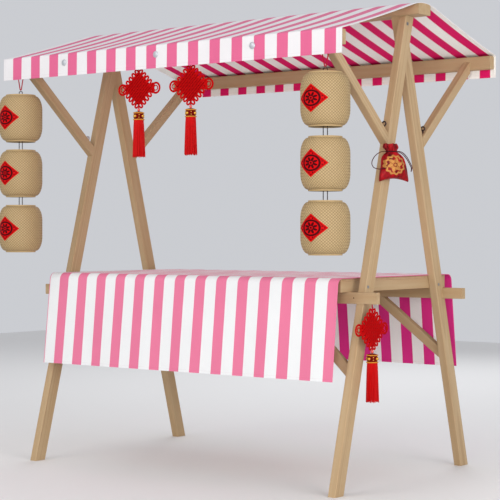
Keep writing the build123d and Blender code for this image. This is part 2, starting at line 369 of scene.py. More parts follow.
def grained(name, constants, tints, grain, roughness, spread=0, bump=None, detail=2.0):
    # a finish in two tints: its noise can also move the roughness, and a bump with a distance and a strength
    paint = Paint(name, constants)
    noise = paint.noise(paint.place(), grain, detail)
    if spread:
        roughness = roughness + noise * spread
    if bump:
        return paint.give(paint.mix(noise, *tints), roughness, noise, *bump)
    return paint.give(paint.mix(noise, *tints), roughness)


# Camera, light and floor

studio = {
    "cameraPlace": (4.5602, -5.88995, 1.0903),
    "cameraTurn": 0.6537,
    "lens": 113.26,
    "sensor": 36,
    "shiftY": -0.0339,
    "floorSize": 16,
    "floorTint": (0.78, 0.77, 0.76, 1),
    "sky": (0.93, 0.95, 1.0, 1),
    "skyStrength": 0.64,
    "lights": {                # place, aim, size, power and tint
        "frontSoftbox": ((-1.0, -6.0, 4.2), (0, 0, 1.3), 4.0, 128, (1.0, 0.97, 0.94)),
        "endSoftbox": ((6.0, -2.2, 2.3), (0, 0, 1.1), 3.5, 165, (1.0, 0.98, 0.98)),
        "backSoftbox": ((-2.0, 5.0, 4.0), (0, 0, 1.2), 4.0, 105, (0.96, 0.98, 1.0)),
        "lowFill": ((3.9, -7.4, 1.5), (0.2, 0, 1.0), 2.4, 184, (1.0, 0.99, 0.97)),
    },
}
bpy.ops.object.camera_add(location=studio["cameraPlace"], rotation=(math.pi / 2, 0, studio["cameraTurn"]))
camera = bpy.context.object
camera.data.lens = studio["lens"]
camera.data.sensor_width = studio["sensor"]
camera.data.shift_y = studio["shiftY"]
scene.camera = camera
scene.view_settings.view_transform = "Standard"

world = bpy.data.worlds.new("studioSky")
world.use_nodes = True
world.node_tree.nodes["Background"].inputs["Color"].default_value = studio["sky"]
world.node_tree.nodes["Background"].inputs["Strength"].default_value = studio["skyStrength"]
scene.world = world

for name, (place, aim, size, power, tint) in studio["lights"].items():
    bpy.ops.object.light_add(type="AREA", location=place)
    light = bpy.context.object
    light.name = name
    light.rotation_euler = (Vector(aim) - Vector(place)).to_track_quat("-Z", "Y").to_euler()
    light.data.size = size
    light.data.energy = power
    light.data.color = tint
    light.visible_camera = False

floor = added("plane", size=studio["floorSize"], location=(0, 0, 0))
floor.name = "studioFloor"
floorPaint = grained("paleFloor", {"Specular IOR Level": 0.2}, shades(studio["floorTint"], 1, 0.99), 1.2, 0.7)
floor.data.materials.append(floorPaint.material)
print("studio made")


# Pine timbers: they keep their CAD shape, and their grain runs along each one

pine = {
    "pale": rgb(182, 158, 124),
    "ring": rgb(145, 114, 77),
    "warm": rgb(167, 136, 97),
    "ringPitch": 0.0052,
    "wander": 0.016,           # how far the rings stray
    "pithAlong": 3,            # the pith lies outside each timber, at its own place
    "pithAcross": (0.015, 0.05),
    "pithUp": (0.03, 0.07),
    "wanderGrain": (1.3, 8, 8),
    "fibreGrain": (18, 700, 700),
    "streakGrain": (1.5, 40, 40),
    "lean": 0.27,              # of the legs
    "armRise": 0.875,
    "kneeSlope": 0.81,
    "kneeTilt": 0.152,
}


def pinePaint(name, along):
    paint = Paint(f"{name}_pine", {"Specular IOR Level": 0.3})
    turn = Vector(along).rotation_difference(Vector((1, 0, 0)))
    low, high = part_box(name)
    middle = turn @ ((low + high) / 2)
    pith = Vector((chance.uniform(-pine["pithAlong"], pine["pithAlong"]), chance.uniform(*pine["pithAcross"]),
                   chance.choice((-1, 1)) * chance.uniform(*pine["pithUp"])))
    grain = paint.moved(paint.place(), pith - middle, turn.to_euler())
    wander = paint.noise(grain, pine["wanderGrain"])
    across, up = paint.parts(grain)[1:]
    radius = (across * across + up * up) ** 0.5 + (wander - 0.5) * pine["wander"]
    ring = (radius / pine["ringPitch"]).fraction()
    late = ring ** 3 * (1.02 - ring).above(0.06, 0.12)     # each ring darkens to its end
    fibre = paint.noise(grain, pine["fibreGrain"], 3.0, 0.6)
    streak = paint.noise(grain, pine["streakGrain"])
    ground = paint.mix(streak * 1.5 - 0.35, pine["pale"], pine["warm"])
    tint = paint.mix(late * 0.55 + (fibre - 0.5) * 0.3, ground, pine["ring"])
    return paint.give(tint, 0.5 + fibre * 0.25, late * 0.35 + fibre * 0.65, 0.0004, 0.7)


lengthwise = ("ridge_board", "front_eave_rail", "back_eave_rail", "front_table_rail", "back_table_rail",
              "counter_board")
timbers = {name: (1, 0, 0) for name in lengthwise}
timbers |= {"right_bearer": (0, 1, 0), "left_bearer": (0, 1, 0)}
for leg, (end, side) in legPlaces.items():
    timbers[f"{leg}_leg"] = (0, -side * pine["lean"], 1)
    timbers[f"{leg}_arm"] = (0, side, pine["armRise"])
    timbers[f"{leg}_knee"] = (end, side * pine["kneeTilt"], -pine["kneeSlope"])
for name, along in timbers.items():
    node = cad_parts[name]
    node.data.materials.clear()
    node.data.materials.append(pinePaint(name, Vector(along).normalized()).material)
print("timbers painted:", len(timbers))


# Striped cloth

stripes = {
    "pinkWidth": 0.0575,
    # each cloth's inner side has its own tints: its pink is deeper, painted light through the cloth, and its
    # white is brighter, painted light against the shade there
    "outsideRoof": (rgb(213, 102, 141), rgb(223, 223, 224)),
    "underRoofPaintedLight": (rgb(224, 30, 104), rgb(250, 253, 247)),
    "outsideCloth": (rgb(222, 121, 153), rgb(228, 232, 232)),
    "insideClothPaintedLight": (rgb(226, 54, 142), rgb(253, 254, 254)),
    "border": rgb(246, 214, 220),
    "borderWidth": 0.0035,
    "soft": 0.0008,            # the edge of a stripe
    "slack": 0.0012,           # how far a stripe strays
    "thread": 0.0011,
    "stitch": 0.0045,
    "stitchWidth": 0.0006,
}


def stripedPaint(name, flat, sheet, side):
    # the cloth's own UV map gives where each thread lay when it was flat, as a share of its cut
    paint = Paint(name, {"Roughness": 0.85, "Specular IOR Level": 0.08, "Sheen Roughness": 0.5,
                         "Sheen Weight": 0.06 if side.startswith("outside") else 0.0})
    shareX, shareY = paint.parts(paint.place("UV"))[:2]
    along = (shareX - 0.5) * flat[0]
    down = (shareY - 0.5) * flat[1]
    slack = paint.noise(paint.place(), 9.0, 1.0) * stripes["slack"]
    cycle = ((along + slack - sheet["firstPink"]) / sheet["pitch"] + 0.5).fraction()
    off = abs(cycle - 0.5) * sheet["pitch"]                # metres from the middle of a pink stripe
    white = off.above(stripes["pinkWidth"] / 2, stripes["soft"])
    if "leftPink" in sheet:                                # the last stripe reaches the left hem
        white = white * (1 - (sheet["leftPink"] - along).above(0, stripes["soft"]))
    # the inner sides' tints hold painted light: a deeper pink through the cloth and a brighter white in its
    # shade
    pinkTint, whiteTint = stripes[side]
    blotch = paint.noise(paint.place(), 5.0)
    pinkMix = paint.mix(blotch, shade(pinkTint, 1.03), shade(pinkTint, 0.94))
    whiteMix = paint.mix(blotch, whiteTint, shade(whiteTint, 0.96))
    tint = paint.mix(white, pinkMix, whiteMix)
    if side == "underRoofPaintedLight":
        line = off.at(stripes["pinkWidth"] / 2, stripes["borderWidth"] / 2, 0.001)
        tint = paint.mix(line * 0.6, tint, stripes["border"])
    warp, weft = (abs((way * (math.pi / stripes["thread"])).sine()) for way in (along, down))
    weave = warp * weft
    edge = (flat[0] / 2 - abs(along)).least(flat[1] / 2 - abs(down))
    seam = edge.at(sheet["hemWidth"] * 0.8, stripes["stitchWidth"], stripes["stitchWidth"])
    stitch = seam * ((along + down) / stripes["stitch"]).fraction().above(0.3, 0.1)
    # the gaps between the threads get painted shade, and the stitches are darker
    tint = paint.mix((1 - weave) * 0.12 + stitch * 0.2, tint, shade(pinkTint, 0.6), "MULTIPLY")
    return paint.give(tint, 0.8 + weave * 0.12, weave * 0.3 - stitch * 0.7, 0.0006, 0.6)


def clothSheet(line, columns, moved):
    # a grid laid along the line: its columns run along X, and its rows follow the line
    lengths = runs(line)
    normals = []
    for index in range(len(line)):
        ahead = (line[min(index + 1, len(line) - 1)] - line[max(index - 1, 0)]).normalized()
        normals.append(Vector((0, -ahead.y, ahead.x)))
    piece = added("grid", x_subdivisions=len(columns) - 1, y_subdivisions=len(line) - 1, size=2)
    flat = []
    for vertex in piece.data.vertices:
        column = round((vertex.co.x + 1) / 2 * (len(columns) - 1))
        row = round((vertex.co.y + 1) / 2 * (len(line) - 1))
        x = columns[column]
        flat.append(((x - columns[0]) / (columns[-1] - columns[0]), lengths[row] / lengths[-1]))
        base = Vector((x, ridgeY + line[row].x, line[row].y))
        vertex.co = base + normals[row] * moved(x, base)
    for loop, uv in zip(piece.data.loops, piece.data.uv_layers.active.data):
        uv.uv = flat[loop.vertex_index]
    return piece, (columns[-1] - columns[0], lengths[-1])


def hemmed(piece, flat, sheet):
    # a thin sheet, twice as thick where its edges are turned in, with a finish for each side
    for name, side in sheet["finishes"].items():
        piece.data.materials.append(stripedPaint(name, flat, sheet, side).material)
    group = piece.vertex_groups.new(name="hem")
    shares = {}
    for loop, uv in zip(piece.data.loops, piece.data.uv_layers.active.data):
        shares[loop.vertex_index] = uv.uv.copy()
    for index, share in shares.items():
        edge = min(min(share.x, 1 - share.x) * flat[0], min(share.y, 1 - share.y) * flat[1])
        group.add([index], 1.0 if edge < sheet["hemWidth"] * 1.02 else 0.5, "REPLACE")
    modified(piece, "SOLIDIFY", thickness=sheet["thickness"] * 2, offset=-1, vertex_group="hem",
             material_offset=1, material_offset_rim=0, use_even_offset=True)
    piece.vertex_groups.clear()


def edgedColumns(half, edge, step=0.02):
    count = round((2 * half - 2 * edge) / step)
    inner = [-half + edge + (2 * half - 2 * edge) * number / count for number in range(count + 1)]
    return [-half, *inner, half]


def ripple(x, *waves):
    return sum(height * math.sin(2 * math.pi * x / length + shift) for height, length, shift in waves)


# Canvas roof

canopy = {
    "half": 0.98,
    "out": 0.6440,
    "hem": 1.822,
    "eave": 1.9255,
    "apex": 2.11065,
    "ridgeRadius": 0.2985,
    "foldRadius": 0.008,
    "ridgeHalf": 0.085,        # the canvas lies flat on the ridge board as far out as this
    "longestRow": 0.026,
    "thickness": 0.0012,
    "hemWidth": 0.016,
    "sag": 0.004,
    "ripple": 0.0011,
    "firstPink": -0.8873,
    "pitch": 0.1207,
    "finishes": {"canvasOutside": "outsideRoof", "canvasUnderside": "underRoofPaintedLight"},
}


def canopyLine():
    out, hem = canopy["out"], canopy["hem"]
    half = [(-out, hem, 0), (-out, hem + canopy["hemWidth"], 0), (-out, canopy["eave"], canopy["foldRadius"])]
    whole = half + [(0, canopy["apex"], canopy["ridgeRadius"])] + mirrored(half)
    return refined(rounded(whole, 10), canopy["longestRow"])


def canopyMoved(x, base):
    out = abs(base.y - ridgeY)
    if out > canopy["out"] - 0.001:                        # a valance hangs in slight waves
        drop = (canopy["eave"] - base.z) / (canopy["eave"] - canopy["hem"])
        phase = 0.6 if base.y < ridgeY else 2.1
        wave = 1 + ripple(x, (0.6, 0.31, phase), (0.4, 0.173, 2 * phase))
        return canopy["ripple"] * max(0, drop) * wave
    slope = max(0, (out - canopy["ridgeHalf"]) / (canopy["out"] - canopy["ridgeHalf"]))
    give = 1 + ripple(x, (0.25, 0.7, 0.4), (0.15, 0.29, 1.0))
    return -canopy["sag"] * math.sin(math.pi * min(1, slope)) * give


roof, roofFlat = clothSheet(canopyLine(), edgedColumns(canopy["half"], canopy["hemWidth"]), canopyMoved)
hemmed(roof, roofFlat, canopy)
settled(roof, "canvasRoof", [], ["canopy"], 60)
print("canvas roof: cut", [round(size, 3) for size in roofFlat])


# Counter cloth

cloth = {
    "half": 0.842,
    "top": 0.8997,
    "topOut": 0.4675,
    "hemOut": 0.5130,
    "hem": 0.467,
    "bend": 0.034,
    "thickness": 0.0009,
    "hemWidth": 0.014,
    "firstPink": -0.746,
    "pitch": 0.1205,
    "leftPink": -0.838,
    "finishes": {"clothOutside": "outsideCloth", "clothInside": "insideClothPaintedLight"},
    "drape": 0.0045,
    "dropStart": 0.03,         # how far below the top the waves begin
    "longestRow": 0.024,
    "notchDepth": 0.017,       # round the two inner legs
    "notchMiddle": 0.3064,
    "notchHalf": 0.0357,
}


def clothLine():
    hemOut, topOut, top, hem, width = (cloth[key] for key in ("hemOut", "topOut", "top", "hem", "hemWidth"))
    slope = (hemOut - topOut) / (top - hem)
    half = [(-hemOut, hem, 0), (-hemOut + slope * width, hem + width, 0), (-topOut, top, cloth["bend"])]
    half += [(-cloth["notchMiddle"] + side * cloth["notchHalf"], top, 0) for side in (-1, 1)]
    return refined(rounded(half + mirrored(half), 10), cloth["longestRow"])


def clothMoved(x, base):
    drop = max(0, (cloth["top"] - cloth["dropStart"] - base.z) / (cloth["top"] - cloth["hem"]))
    if drop:
        phase = 0.3 if base.y < ridgeY else 1.9
        wave = ripple(x, (0.55, 0.42, phase), (0.3, 0.233, 2.3 * phase), (0.15, 0.121, phase))
        return cloth["drape"] * drop ** 1.3 * wave
    return ripple(x, (0.0004, 0.21, 0.2)) * math.sin(9 * base.y)


def inNotch(face):
    out = face.center.y - ridgeY
    side = -1 if face.center.x < 0 else 1
    return (abs(face.center.x) > cloth["half"] - cloth["notchDepth"] and face.center.z > cloth["top"] - 0.01
            and abs(out - side * cloth["notchMiddle"]) < cloth["notchHalf"])


clothColumns = edgedColumns(cloth["half"], cloth["notchDepth"])
counterCloth, clothFlat = clothSheet(clothLine(), clothColumns, clothMoved)
shaped(counterCloth, "FACE", inNotch, "delete", type="FACE")
hemmed(counterCloth, clothFlat, cloth)
settled(counterCloth, "counterCloth", [], ["tablecloth"], 60)
print("counter cloth: cut", [round(size, 3) for size in clothFlat])


# Lanterns: split bamboo in a close diagonal weave, with a rim at each end

lantern = {
    "radius": 0.101,
    "rim": 0.070,
    "height": 0.225,
    "rimHeight": 0.007,
    "rimWall": 0.0035,
    "rimBelow": 0.003,         # how far a rim reaches down inside the weave
    "rimProud": 0.0006,
    "recess": 0.007,
    "shoulder": 0.068,         # height of the rounding at each end
    "strips": 46,              # in each direction
    "lozenge": 0.0122,         # height of one lozenge of the weave
    "weaveDepth": 0.0011,
    "stripThickness": 0.0006,
    "stripCrown": 0.0007,
    "cover": 0.9,              # how much of its room a strip fills
    # the lining is a dark sheet of painted shade just inside the weave
    "lining": 0.0022,          # how far the lining lies inside
    "liningEnd": 0.995,        # the share of its height where its width is taken, so its ends stay wide
    "cardAround": 0.076,       # half the card, round the barrel
    "cardUp": 0.058,
    "cardGap": 0.0016,
    "cardThickness": 0.0008,
    "x": 0.885,
    "y": -0.58475,
    "feet": {"top": 1.525, "middle": 1.262, "bottom": 0.999},
    "railFoot": 1.8592,
    "straw": rgb(183, 158, 115),
    # a darker tone of the bamboo, which also gives the painted shade at the strips' edges and inside the
    # barrel
    "dark": rgb(141, 112, 71),
    "cardRed": rgb(192, 0, 3),
    "cardInk": rgb(50, 0, 6),
}
barrelEnd = lantern["height"] / 2 - lantern["rimHeight"]


def barrelRadius(height):
    past = max(0, (abs(height) - barrelEnd) / lantern["shoulder"] + 1)
    return lantern["rim"] + (lantern["radius"] - lantern["rim"]) * math.sqrt(1 - min(1, past) ** 2)


def barrelLevels():
    # points (radius, height) at even steps along the barrel's side, half a lozenge apart
    heights = [barrelEnd * (step / 300 - 1) for step in range(601)]
    fine = [Vector((barrelRadius(height), height)) for height in heights]
    lengths = runs(fine)
    count = 2 * round(lengths[-1] / lantern["lozenge"])
    levels, index = [], 0
    for level in range(count + 1):
        goal = lengths[-1] * level / count
        while index < len(fine) - 2 and lengths[index + 1] < goal:
            index += 1
        share = (goal - lengths[index]) / (lengths[index + 1] - lengths[index])
        levels.append(fine[index].lerp(fine[index + 1], share))
    return levels


def wovenStrip(levels, hand):
    # one strip that winds up the barrel to one side, over and under at every level
    step = math.pi / lantern["strips"]
    strip = added("grid", x_subdivisions=len(levels) - 1, y_subdivisions=2, size=2)
    last = len(levels) - 1

    def centre(level):
        radius, height = levels[level]
        lift = hand * lantern["weaveDepth"] * (1 if level % 2 else -1)
        angle = hand * step * level
        return Vector(((radius + lift) * math.cos(angle), (radius + lift) * math.sin(angle), height))

    for vertex in strip.data.vertices:
        level = round((vertex.co.x + 1) / 2 * last)
        side = vertex.co.y
        ahead = (centre(min(level + 1, last)) - centre(max(level - 1, 0))).normalized()
        rise = levels[min(level + 1, last)] - levels[max(level - 1, 0)]
        angle = hand * step * level
        outward = Vector((math.cos(angle) * rise.y, math.sin(angle) * rise.y, -rise.x)).normalized()
        apart = 2 * math.pi * levels[level].x / lantern["strips"]
        climb = lantern["lozenge"] / apart
        width = lantern["cover"] * apart * climb / math.hypot(1, climb)
        vertex.co = (centre(level) + outward.cross(ahead) * side * width / 2
                     + outward * lantern["stripCrown"] * (1 - side * side))
    return modified(strip, "SOLIDIFY", thickness=lantern["stripThickness"], offset=0)


def numbered(piece, number, count):
    # each strip has its own column of the UV map, so that no two are the same
    for loop in piece.data.uv_layers.active.data:
        loop.uv = ((number + 0.05 + 0.9 * loop.uv.y) / count, loop.uv.x)
    return piece


def wovenBarrel():
    levels, count = barrelLevels(), lantern["strips"]
    strips = []
    for hand in (1, -1):
        base = wovenStrip(levels, hand)
        for number in range(count):
            turn = Matrix.Rotation(2 * math.pi * number / count, 4, "Z")
            strips.append(numbered(twin(base, turn), number + (count if hand < 0 else 0), 2 * count))
        cleared(base)
    return joined(*strips)


# a dark sheet just inside the weave: painted shade for the barrel's hollow, seen through the weave
def barrelShadeLining():
    lining = added("cylinder", vertices=48, radius=lantern["radius"], depth=2 * barrelEnd,
                   end_fill_type="NGON")
    cutAcross(lining, 0.01, 15)
    for vertex in lining.data.vertices:
        share = (barrelRadius(vertex.co.z * lantern["liningEnd"]) - lantern["lining"]) / lantern["radius"]
        vertex.co.x *= share
        vertex.co.y *= share
    return lining


def lanternRim():
    half, deep = lantern["height"] / 2, lantern["rimHeight"] + lantern["rimBelow"]
    rim = added("cylinder", vertices=64, radius=lantern["rim"] + lantern["rimProud"], depth=deep,
                location=(0, 0, half - deep / 2))
    recessed(rim, lantern["rimWall"], lantern["recess"])
    fixed(eased(rim, 0.0009, 2, 50))
    for face in rim.data.polygons:                         # the recess gets the lining's painted shade
        face.material_index = int(face.center.xy.length < lantern["rim"] - lantern["rimWall"] + 0.001)
    return rim


def lanternCard():
    # a diamond of stiff paper, bent round the barrel
    card = added("grid", x_subdivisions=16, y_subdivisions=16, size=2)
    radius = lantern["radius"] + lantern["weaveDepth"] + lantern["cardGap"]
    for vertex in card.data.vertices:
        angle = (vertex.co.x - vertex.co.y) / 2 * lantern["cardAround"] / radius
        up = (vertex.co.x + vertex.co.y) / 2 * lantern["cardUp"]
        vertex.co = (radius * math.sin(angle), -radius * math.cos(angle), up)
    return modified(card, "SOLIDIFY", thickness=lantern["cardThickness"], offset=-1)


def bambooPaint():
    paint = Paint("splitBamboo", {"Specular IOR Level": 0.35})
    share, up = paint.parts(paint.place("UV"))[:2]
    number = share * (2 * lantern["strips"])
    across = abs(number.fraction() - 0.5) * 2
    tone = paint.node("ShaderNodeTexWhiteNoise", {"noise_dimensions": "1D"}, {"W": number.maths("FLOOR")})
    fibre = paint.noise(paint.node("ShaderNodeCombineXYZ", {}, {0: number * 9, 1: up * 14}), 1.0, 3.0)
    tint = paint.mix(tone * 0.12 + fibre * 0.25, lantern["straw"], lantern["dark"])
    leftHanded = number.above(lantern["strips"], 0.02)
    wave = up * (math.pi * (len(barrelLevels()) - 1)) + leftHanded * math.pi + math.pi / 2
    under = (wave.sine() * 0.5 + 0.5).above(0.42, 0.5)     # where a strip passes under another
    # the strips' edges and the places where a strip passes under another get painted shade in the dark tint
    edge = across.above(0.74, 0.3).most(under)
    return paint.give(paint.mix(edge * 0.8, tint, shade(lantern["dark"], 0.42)), 0.5 + fibre * 0.2,
                      fibre * 0.6 - edge * 0.5, 0.0003, 0.7)


def rimPaint():
    paint = Paint("bambooRim", {"Specular IOR Level": 0.35})
    grain = paint.noise(paint.place(), (60, 60, 900), 3.0)
    return paint.give(paint.mix(grain * 0.7, shade(lantern["straw"], 1.05), lantern["dark"]),
                      0.5 + grain * 0.15, grain, 0.0003, 0.5)


def cardPaint():
    # an eight-leaved rosette in a ring, with a lattice of fine lines round it
    paint = Paint("redCard", {"Roughness": 0.5, "Specular IOR Level": 0.06})
    x, y = ((part - 0.5) * 2 for part in paint.parts(paint.place("UV"))[:2])
    edge = abs(x).most(abs(y))
    reach = (x * x + y * y) ** 0.5
    leafEdge = reach - abs((y.maths("ARCTAN2", x) * 4).sine()) * 0.38
    leaves = reach.above(0.18, 0.04) * (1 - leafEdge.above(0.22, 0.04))
    heart = 1 - reach.above(0.1, 0.03)
    slant, rise = (abs((way * 2.2).fraction() - 0.5) for way in (x - y, x + y))
    lattice = 1 - slant.least(rise).above(0.14, 0.05)
    outside = reach.above(0.88, 0.03) * (1 - edge.above(0.82, 0.02))
    ring = reach.at(0.74, 0.09, 0.03)
    frameLine = edge.at(0.86, 0.03, 0.015)
    ink = leaves.most(ring).most(heart).most(frameLine * 0.6).most(lattice * outside)
    return paint.give(paint.mix(ink * 0.97, lantern["cardRed"], lantern["cardInk"]), None, ink, 0.0002, 0.5)


# painted shade for the barrel's hollow and for the rims' recesses
liningShadePaint = grained("barrelShade", {"Specular IOR Level": 0.1}, shades(lantern["dark"], 0.45, 0.3),
                      60.0, 0.9)
upperRim = lanternRim()
rims = joined(upperRim, twin(upperRim, Matrix.Scale(-1, 4, (0, 0, 1))))
lanternParts = {"Weave": (wovenBarrel(), [bambooPaint()], 35), "ShadeLining": (barrelShadeLining(), [liningShadePaint], 40),
                "Rims": (rims, [rimPaint(), liningShadePaint], 40), "Card": (lanternCard(), [cardPaint()], 30)}
lanternEnds = {"right": lantern["x"], "left": -lantern["x"]}
for hand, x in lanternEnds.items():
    for level, foot in lantern["feet"].items():
        place = Matrix.Translation((x, lantern["y"], foot + lantern["height"] / 2))
        turn = Matrix.Rotation(chance.uniform(-0.5, 0.5), 4, "Z")
        for part, (piece, paints, corner) in lanternParts.items():
            copy = twin(piece, place if part == "Card" else place @ turn)
            stands = [f"{hand}_{level}_lantern"] if part == "Weave" else []
            settled(copy, f"{hand}{level.capitalize()}Lantern{part}", paints, stands, corner)
cleared(*(piece for piece, *_ in lanternParts.values()))
print("lanterns woven")


# The lanterns' cords: a red loop from the eave rail, which carries a dark bail, and two dark cords
# from each lantern to the next

cords = {
    "loop": 0.0017,
    "loopSpread": 0.0225,
    "loopFoot": 0.012,         # above the top lantern
    "footRadius": 0.0045,
    "link": 0.0013,
    "linkSpread": 0.0105,
    "bailRadius": 0.005,
    "turn": 0.010,
    "lay": 0.8,                # how far a strand lies from the cord's middle, as a share of its radius
    "red": rgb(176, 26, 46),
    "dark": rgb(70, 56, 52),
}


def cordPaint(name, tint, grain=900.0, sheen=0.0):
    constants = {"Specular IOR Level": 0.12, "Sheen Weight": sheen, "Sheen Roughness": 0.4}
    return grained(name, constants, shades(tint, 0.7, 1.15), grain, 0.55, 0.2, (0.0003, 0.6))


def uprightCord(corners, x, radius):
    # the strands of a cord that follows rounded corners in an upright plane
    path = [(x + point.x, lantern["y"], point.y) for point in refined(rounded(corners, 8), 0.002)]
    return twisted(path, (0, 1, 0), radius * cords["lay"], cords["turn"])


redCordPaint = cordPaint("redCord", cords["red"])
darkCordPaint = cordPaint("darkCord", cords["dark"])
feet = list(lantern["feet"].values())
caps = [foot + lantern["height"] - lantern["recess"] for foot in feet]
loopFoot = caps[0] + lantern["recess"] + cords["loopFoot"]
bailTop = loopFoot + cords["footRadius"]
loopCorners = [(-cords["loopSpread"], lantern["railFoot"], 0),
               (0, loopFoot - cords["footRadius"], cords["footRadius"]),
               (cords["loopSpread"], lantern["railFoot"], 0)]
bailHalf = [(-cords["linkSpread"], caps[0], 0), (-cords["linkSpread"], bailTop, cords["bailRadius"])]
for hand, x in lanternEnds.items():
    loop = strand(uprightCord(loopCorners, x, cords["loop"]), cords["loop"])
    settled(loop, f"{hand}LanternLoop", [redCordPaint], [f"{hand}_lantern_cords"], 60)
    lines = uprightCord(bailHalf + mirrored(bailHalf), x, cords["link"])
    for foot, cap in zip(feet, caps[1:]):
        for side in (-cords["linkSpread"], cords["linkSpread"]):
            lines += uprightCord([(side, cap, 0), (side, foot + lantern["recess"], 0)], x, cords["link"])
    settled(strand(lines, cords["link"]), f"{hand}LanternLinks", [darkCordPaint], [], 60)
print("lantern cords laid")


# Knots of doubled cord, woven as a lozenge, with their tassels

knot = {
    "pairs": 5,
    "side": 0.116,
    "inset": 0.001,            # how far inside the lozenge the passes end
    "cord": 0.0023,
    # the two cords of a pass: how far from the middle of their pair they lie, woven and in the loops,
    # and how far their loops stand out from the woven part
    "passCords": ((0.0035, 0.0060, 0.0146), (0.0081, 0.0096, 0.0186)),
    "flare": 0.011,            # how far from the edge the passes begin to part
    "lift": 0.0026,            # one layer of passes lies in front, the other behind
    "wave": 0.0006,
    "steps": 40,
    "loopSteps": 10,
    "loopPower": 0.8,          # below 1 the loops are squarer than a circle
    "wide": 0.74,
    "tall": 0.695,
    # a dark sheet of painted shade between the knot's two layers
    "shadeSheet": 0.0012,
    "shadeSheetInset": 0.006,
    "ringMiddle": 0.0985,
    "rings": ((0.0246, 0.0021), (0.0205, 0.0021), (0.0108, 0.0019)),   # radius, and a strand's radius
    "ringBack": 0.0028,
    "ringTurn": 0.014,
    "ringLay": 0.4,
    "string": 0.0017,
    "stringTurn": 0.009,
    "stringLay": 0.0014,
    "stringEnd": 0.078,        # from the middle of the knot
    "head": 0.091,
    "hang": {                  # node, x, y, top of the string, its length and how the knot is turned
        "leftEave": ("left_eave", -0.136, -0.5817, 1.8592, 0.030, 0),
        "rightEave": ("right_eave", 0.167, -0.5817, 1.8592, 0.030, 0),
        "rail": ("rail", 0.941, -0.31896, 0.7897, 0.014, 90),
    },
    "red": rgb(228, 6, 8),
    # the painted shade in the braid's grooves
    "deep": rgb(120, 0, 3),
    "bandRed": rgb(120, 4, 6),
    "tasselRed": rgb(198, 0, 3),
    "gold": rgb(226, 168, 62),
    "goldCord": rgb(206, 138, 46),
    "beadPink": rgb(226, 88, 84),
}


def lozengePoint(along, across, lift, turned):
    # along and across one pass, to a place in the knot, which faces -Y
    if turned:
        along, across, lift = across, along, -lift
    return Vector(((along - across) * knot["wide"], -lift, (along + across) * knot["tall"]))


def passPair(number, woven, looped, reach, turned):
    # one closed cord: along one side of the pair, round its loop, back along the other and round again
    middle = (number - (knot["pairs"] - 1) / 2) * knot["side"] / knot["pairs"]
    pitch = knot["side"] / (2 * knot["pairs"])
    half = knot["side"] / 2 - knot["inset"]
    reach *= 1.1 - 0.2 * (middle / half) ** 2              # the middle loops stand out a little further
    points = []

    def spread(along):
        share = max(0, (abs(along) - (half - knot["flare"])) / knot["flare"])
        return woven + (looped - woven) * share * share * (3 - 2 * share)

    for side in (-1, 1):
        for step in range(knot["steps"] + 1):
            along = side * (2 * half * step / knot["steps"] - half)
            wave = math.cos(math.pi * (along + half + knot["inset"] - pitch / 2) / pitch) * side
            fade = min(1, (half - abs(along)) / (pitch / 3))
            lift = (knot["lift"] + knot["wave"] * wave) * fade
            points.append(lozengePoint(along, middle + side * spread(along), lift, turned))
        for step in range(1, knot["loopSteps"]):
            angle = math.pi * step / knot["loopSteps"]
            out = math.sin(angle) ** knot["loopPower"]
            over = math.copysign(abs(math.cos(angle)) ** knot["loopPower"], math.cos(angle))
            points.append(lozengePoint(side * (half + reach * out), middle + side * looped * over, 0, turned))
    return points


def wovenKnot():
    lines = [passPair(number, *sizes, turned) for turned in (False, True) for number in range(knot["pairs"])
             for sizes in knot["passCords"]]
    pieces = [strand(lines, knot["cord"], 2, closed=True)]
    for radius, thick in knot["rings"]:
        lines = []
        for middle in (-knot["ringMiddle"], knot["ringMiddle"]):
            ring = [(middle + across, knot["ringBack"], up) for across, up in circle(radius, 60)]
            lines += twisted(ring, (0, 1, 0), thick * knot["ringLay"], knot["ringTurn"], closed=True)
        pieces.append(strand(lines, thick, closed=True))
    return joined(*pieces)


def knotShadeSheet():
    # a thin dark sheet between the two layers: painted shade that closes the gaps where four cords meet
    shadeSheet = added("grid", x_subdivisions=12, y_subdivisions=12, size=knot["side"] - knot["shadeSheetInset"])
    for vertex in shadeSheet.data.vertices:
        vertex.co = lozengePoint(vertex.co.x, vertex.co.y, 0, False)
    return modified(shadeSheet, "SOLIDIFY", thickness=knot["shadeSheet"], offset=0)


tassel = {
    "top": -0.0831,            # from the middle of the knot
    "beadHeight": 0.022,
    "bead": 0.0066,
    "beadStretch": 1.15,
    "bandRadius": 0.0215,
    "bandHeight": 0.036,
    # the rings' and beads' heights are from the middle of the band
    "rings": ((0.0228, 0.0145), (0.0234, -0.0150)),        # radius and height
    "ringCord": 0.0017,
    "ringTurn": 0.009,
    "beadRows": ((0.0066, 0, 0), (0.0027, 0.0055, 0.5), (0.0027, -0.0055, 0.5)),   # size, height and shift
    "beadCount": 4,
    "length": 0.168,
    "core": (0.93, 0.72, 0.9),   # its length, foot and head, as shares of the skirt's
    "headRadius": 0.0212,
    "footRadius": 0.0268,
    "threads": {1.0: 58, 0.9: 46, 0.72: 29},               # how far out each layer is, and its count
    "thread": 0.0013,
}
bandTop = tassel["top"] - tassel["beadHeight"]
bandFoot = bandTop - tassel["bandHeight"]
bandMiddle = bandTop - tassel["bandHeight"] / 2


